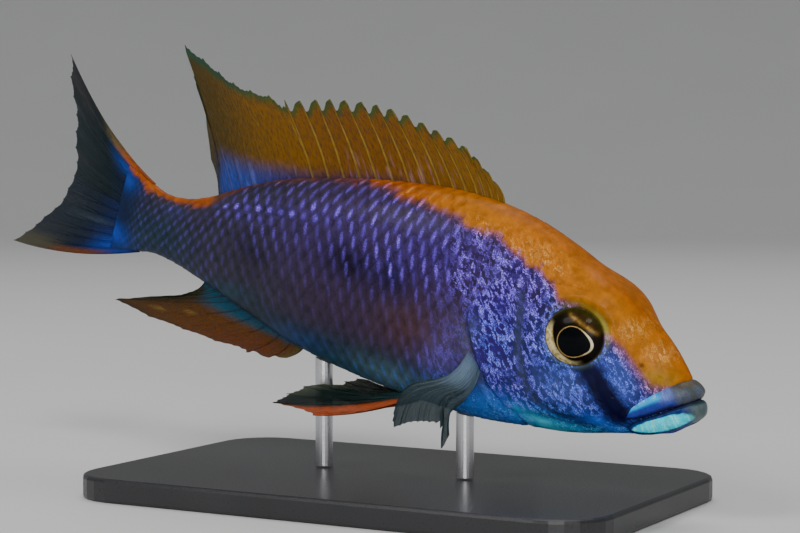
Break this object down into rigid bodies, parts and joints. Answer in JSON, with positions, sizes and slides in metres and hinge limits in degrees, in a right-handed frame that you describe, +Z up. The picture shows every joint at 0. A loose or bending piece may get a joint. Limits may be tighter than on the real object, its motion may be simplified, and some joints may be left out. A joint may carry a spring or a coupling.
{
  "type": "cichlid fish model on a display stand",
  "caption": "Life-size model of a male rock-dwelling cichlid with an orange blaze, swimming head slightly down on a flat stand with thin rods.",
  "frame": {"origin": "middle of the model's bounding box, at the underside of the stand", "axes": "+X towards the snout, +Y towards the fish's left side, +Z up"},
  "size_m": [0.1492, 0.058, 0.0771],
  "materials": {
    "head_skin": "moist skin, orange above and violet-blue below",
    "gill_cover_skin": "iridescent violet-blue skin",
    "lip_skin": "smooth moist skin, turquoise at the sides",
    "eye": "clear wet gloss over a dark iris with a gold ring",
    "flank_skin": "iridescent scales, violet over dark brown",
    "dorsal_membrane": "orange membrane with pale rays",
    "anal_membrane": "orange membrane, blue at the base",
    "caudal_membrane": "dusky membrane, blue at the base",
    "pectoral_membrane": "clear grey membrane with fine rays",
    "pelvic_membrane": "dark green membrane with an orange leading edge",
    "stand_base": "satin black",
    "stand_rod": "brushed"
  },
  "bodies": {
    "root": {"head": "head_skin", "gill_cover_left": "gill_cover_skin", "gill_cover_right": "gill_cover_skin", "upper_lip": "lip_skin", "lower_lip": "lip_skin", "eye_left": "eye", "eye_right": "eye", "torso": "flank_skin", "tail_stalk": "flank_skin", "dorsal_fin": "dorsal_membrane", "anal_fin": "anal_membrane", "caudal_fin_upper": "caudal_membrane", "caudal_fin_lower": "caudal_membrane", "pectoral_fin_left": "pectoral_membrane", "pectoral_fin_right": "pectoral_membrane", "pelvic_fin_left": "pelvic_membrane", "pelvic_fin_right": "pelvic_membrane", "stand_base": "stand_base", "stand_rod_front": "stand_rod", "stand_rod_rear": "stand_rod"}
  },
  "joints": []
}
